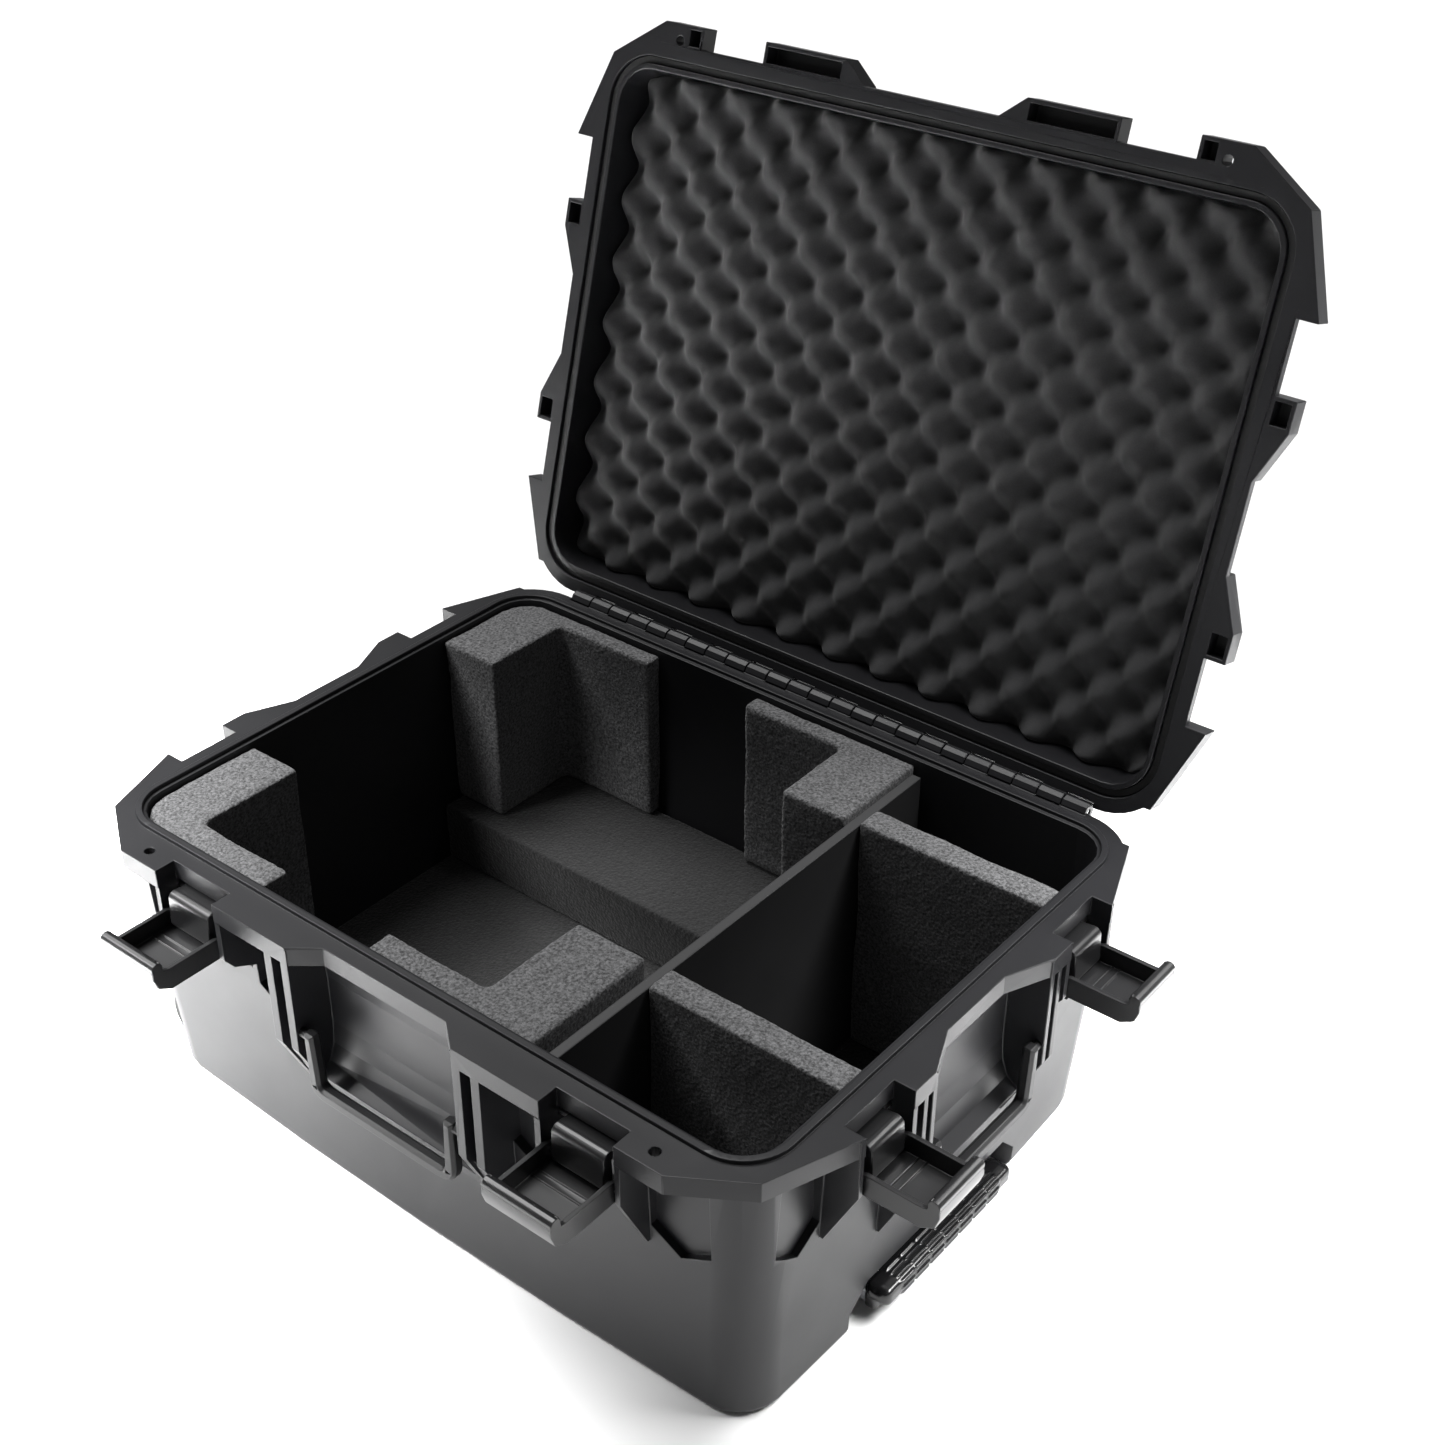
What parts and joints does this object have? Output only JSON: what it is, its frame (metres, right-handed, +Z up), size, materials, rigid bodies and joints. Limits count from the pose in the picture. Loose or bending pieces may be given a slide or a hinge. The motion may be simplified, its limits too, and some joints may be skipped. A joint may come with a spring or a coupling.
{
  "type": "hard equipment case",
  "caption": "Wheeled hard equipment case with a hinged lid, hooked latches, fold-down handles, pull-out trolley handle and foam-lined compartments.",
  "frame": {"origin": "centre of the underside of the tub", "axes": "+Z up, the front with two latches and a handle faces -Y, the trolley grip comes out at +X"},
  "size_m": [0.7338, 0.6903, 0.6864],
  "materials": {
    "shell_polypropylene": "fine moulded texture, charcoal",
    "glossy_nylon": "satin to gloss, black",
    "steel": "plain ground rod",
    "aluminium": "clear anodised",
    "seal_rubber": "soft black",
    "grip_rubber": "glossy ribbed rubber",
    "tyre": "matte black",
    "block_foam": "open speckled polyethylene foam, charcoal",
    "egg_foam": "convoluted polyurethane foam, dark charcoal",
    "panel_board": "dark board with a plain edge"
  },
  "bodies": {
    "case": {"base_shell": "shell_polypropylene", "hinge_pin": "steel", "base_pad": "block_foam", "floor_foam": "block_foam", "divider_panel": "panel_board", "front_left_block": "block_foam", "front_right_block": "block_foam", "rear_left_block": "block_foam", "rear_right_block": "block_foam", "front_divider": "block_foam", "rear_divider": "block_foam", "front_outer_tube": "aluminium", "rear_outer_tube": "aluminium", "front_axle": "steel", "rear_axle": "steel", "front_latch_a_link_pin": "steel", "front_latch_b_link_pin": "steel", "right_latch_a_link_pin": "steel", "right_latch_b_link_pin": "steel", "left_latch_a_link_pin": "steel", "left_latch_b_link_pin": "steel"},
    "lid": {"lid_shell": "shell_polypropylene", "lid_gasket": "seal_rubber", "lid_foam": "egg_foam"},
    "front_latch_a_link": {"front_latch_a_link": "glossy_nylon", "front_latch_a_lever_pin": "steel"},
    "front_latch_a_lever": {"front_latch_a_lever": "glossy_nylon"},
    "front_latch_b_link": {"front_latch_b_link": "glossy_nylon", "front_latch_b_lever_pin": "steel"},
    "front_latch_b_lever": {"front_latch_b_lever": "glossy_nylon"},
    "front_handle": {"front_handle": "glossy_nylon"},
    "right_latch_a_link": {"right_latch_a_link": "glossy_nylon", "right_latch_a_lever_pin": "steel"},
    "right_latch_a_lever": {"right_latch_a_lever": "glossy_nylon"},
    "right_latch_b_link": {"right_latch_b_link": "glossy_nylon", "right_latch_b_lever_pin": "steel"},
    "right_latch_b_lever": {"right_latch_b_lever": "glossy_nylon"},
    "right_handle": {"right_handle": "glossy_nylon"},
    "left_latch_a_link": {"left_latch_a_link": "glossy_nylon", "left_latch_a_lever_pin": "steel"},
    "left_latch_a_lever": {"left_latch_a_lever": "glossy_nylon"},
    "left_latch_b_link": {"left_latch_b_link": "glossy_nylon", "left_latch_b_lever_pin": "steel"},
    "left_latch_b_lever": {"left_latch_b_lever": "glossy_nylon"},
    "left_handle": {"left_handle": "glossy_nylon"},
    "trolley": {"trolley_grip": "grip_rubber", "front_trolley_rod": "aluminium", "rear_trolley_rod": "aluminium"},
    "front_wheel": {"front_wheel_hub": "glossy_nylon", "front_tyre": "tyre"},
    "rear_wheel": {"rear_wheel_hub": "glossy_nylon", "rear_tyre": "tyre"}
  },
  "joints": [
    {"name": "lid_hinge", "type": "hinge", "parent": "case", "child": "lid", "pos_m": [0, 0.2295, 0.2321], "axis": [1, 0, 0], "range_deg": [0, 105.4]},
    {"name": "front_latch_a_link_swing", "type": "hinge", "parent": "case", "child": "front_latch_a_link", "pos_m": [-0.1805, -0.223, 0.212], "axis": [-1, 0, 0], "range_deg": [-2.9, 1.9]},
    {"name": "front_latch_a_close", "type": "hinge", "parent": "front_latch_a_link", "child": "front_latch_a_lever", "pos_m": [-0.1805, -0.2375, 0.193], "axis": [-1, 0, 0], "range_deg": [-60, 92.7]},
    {"name": "front_latch_b_link_swing", "type": "hinge", "parent": "case", "child": "front_latch_b_link", "pos_m": [0.1805, -0.223, 0.212], "axis": [-1, 0, 0], "range_deg": [-2.9, 1.9]},
    {"name": "front_latch_b_close", "type": "hinge", "parent": "front_latch_b_link", "child": "front_latch_b_lever", "pos_m": [0.1805, -0.2375, 0.193], "axis": [-1, 0, 0], "range_deg": [-60, 92.7]},
    {"name": "front_handle_lift", "type": "hinge", "parent": "case", "child": "front_handle", "pos_m": [0, -0.237, 0.158], "axis": [-1, 0, 0], "range_deg": [0, 92]},
    {"name": "right_latch_a_link_swing", "type": "hinge", "parent": "case", "child": "right_latch_a_link", "pos_m": [0.302, -0.1175, 0.212], "axis": [0, -1, 0], "range_deg": [-2.9, 1.9]},
    {"name": "right_latch_a_close", "type": "hinge", "parent": "right_latch_a_link", "child": "right_latch_a_lever", "pos_m": [0.3165, -0.1175, 0.193], "axis": [0, -1, 0], "range_deg": [-60, 92.7]},
    {"name": "right_latch_b_link_swing", "type": "hinge", "parent": "case", "child": "right_latch_b_link", "pos_m": [0.302, 0.1175, 0.212], "axis": [0, -1, 0], "range_deg": [-2.9, 1.9]},
    {"name": "right_latch_b_close", "type": "hinge", "parent": "right_latch_b_link", "child": "right_latch_b_lever", "pos_m": [0.3165, 0.1175, 0.193], "axis": [0, -1, 0], "range_deg": [-60, 92.7]},
    {"name": "right_handle_lift", "type": "hinge", "parent": "case", "child": "right_handle", "pos_m": [0.316, 0, 0.158], "axis": [0, -1, 0], "range_deg": [0, 92]},
    {"name": "left_latch_a_link_swing", "type": "hinge", "parent": "case", "child": "left_latch_a_link", "pos_m": [-0.302, 0.1175, 0.212], "axis": [0, 1, 0], "range_deg": [-4.7, 0.1]},
    {"name": "left_latch_a_close", "type": "hinge", "parent": "left_latch_a_link", "child": "left_latch_a_lever", "pos_m": [-0.31709, 0.1175, 0.19346], "axis": [0, 1, 0], "range_deg": [0, 152.7]},
    {"name": "left_latch_b_link_swing", "type": "hinge", "parent": "case", "child": "left_latch_b_link", "pos_m": [-0.302, -0.1175, 0.212], "axis": [0, 1, 0], "range_deg": [-4.7, 0.1]},
    {"name": "left_latch_b_close", "type": "hinge", "parent": "left_latch_b_link", "child": "left_latch_b_lever", "pos_m": [-0.31709, -0.1175, 0.19346], "axis": [0, 1, 0], "range_deg": [0, 152.7]},
    {"name": "left_handle_lift", "type": "hinge", "parent": "case", "child": "left_handle", "pos_m": [-0.316, 0, 0.158], "axis": [0, 1, 0], "range_deg": [0, 92]},
    {"name": "trolley_slide", "type": "slide", "parent": "case", "child": "trolley", "axis": [1, 0, 0], "range_m": [0, 0.38]},
    {"name": "front_wheel_spin", "type": "hinge", "parent": "case", "child": "front_wheel", "pos_m": [-0.27, -0.181, 0.032], "axis": [0, 1, 0], "continuous": true},
    {"name": "rear_wheel_spin", "type": "hinge", "parent": "case", "child": "rear_wheel", "pos_m": [-0.27, 0.181, 0.032], "axis": [0, 1, 0], "continuous": true}
  ],
  "couplings": [
    {"joint": "front_latch_a_link_swing", "follows": "front_latch_a_close", "ratio": -0.03},
    {"joint": "front_latch_b_link_swing", "follows": "front_latch_b_close", "ratio": -0.03},
    {"joint": "right_latch_a_link_swing", "follows": "right_latch_a_close", "ratio": -0.03},
    {"joint": "right_latch_b_link_swing", "follows": "right_latch_b_close", "ratio": -0.03},
    {"joint": "left_latch_a_link_swing", "follows": "left_latch_a_close", "ratio": -0.03},
    {"joint": "left_latch_b_link_swing", "follows": "left_latch_b_close", "ratio": -0.03}
  ]
}
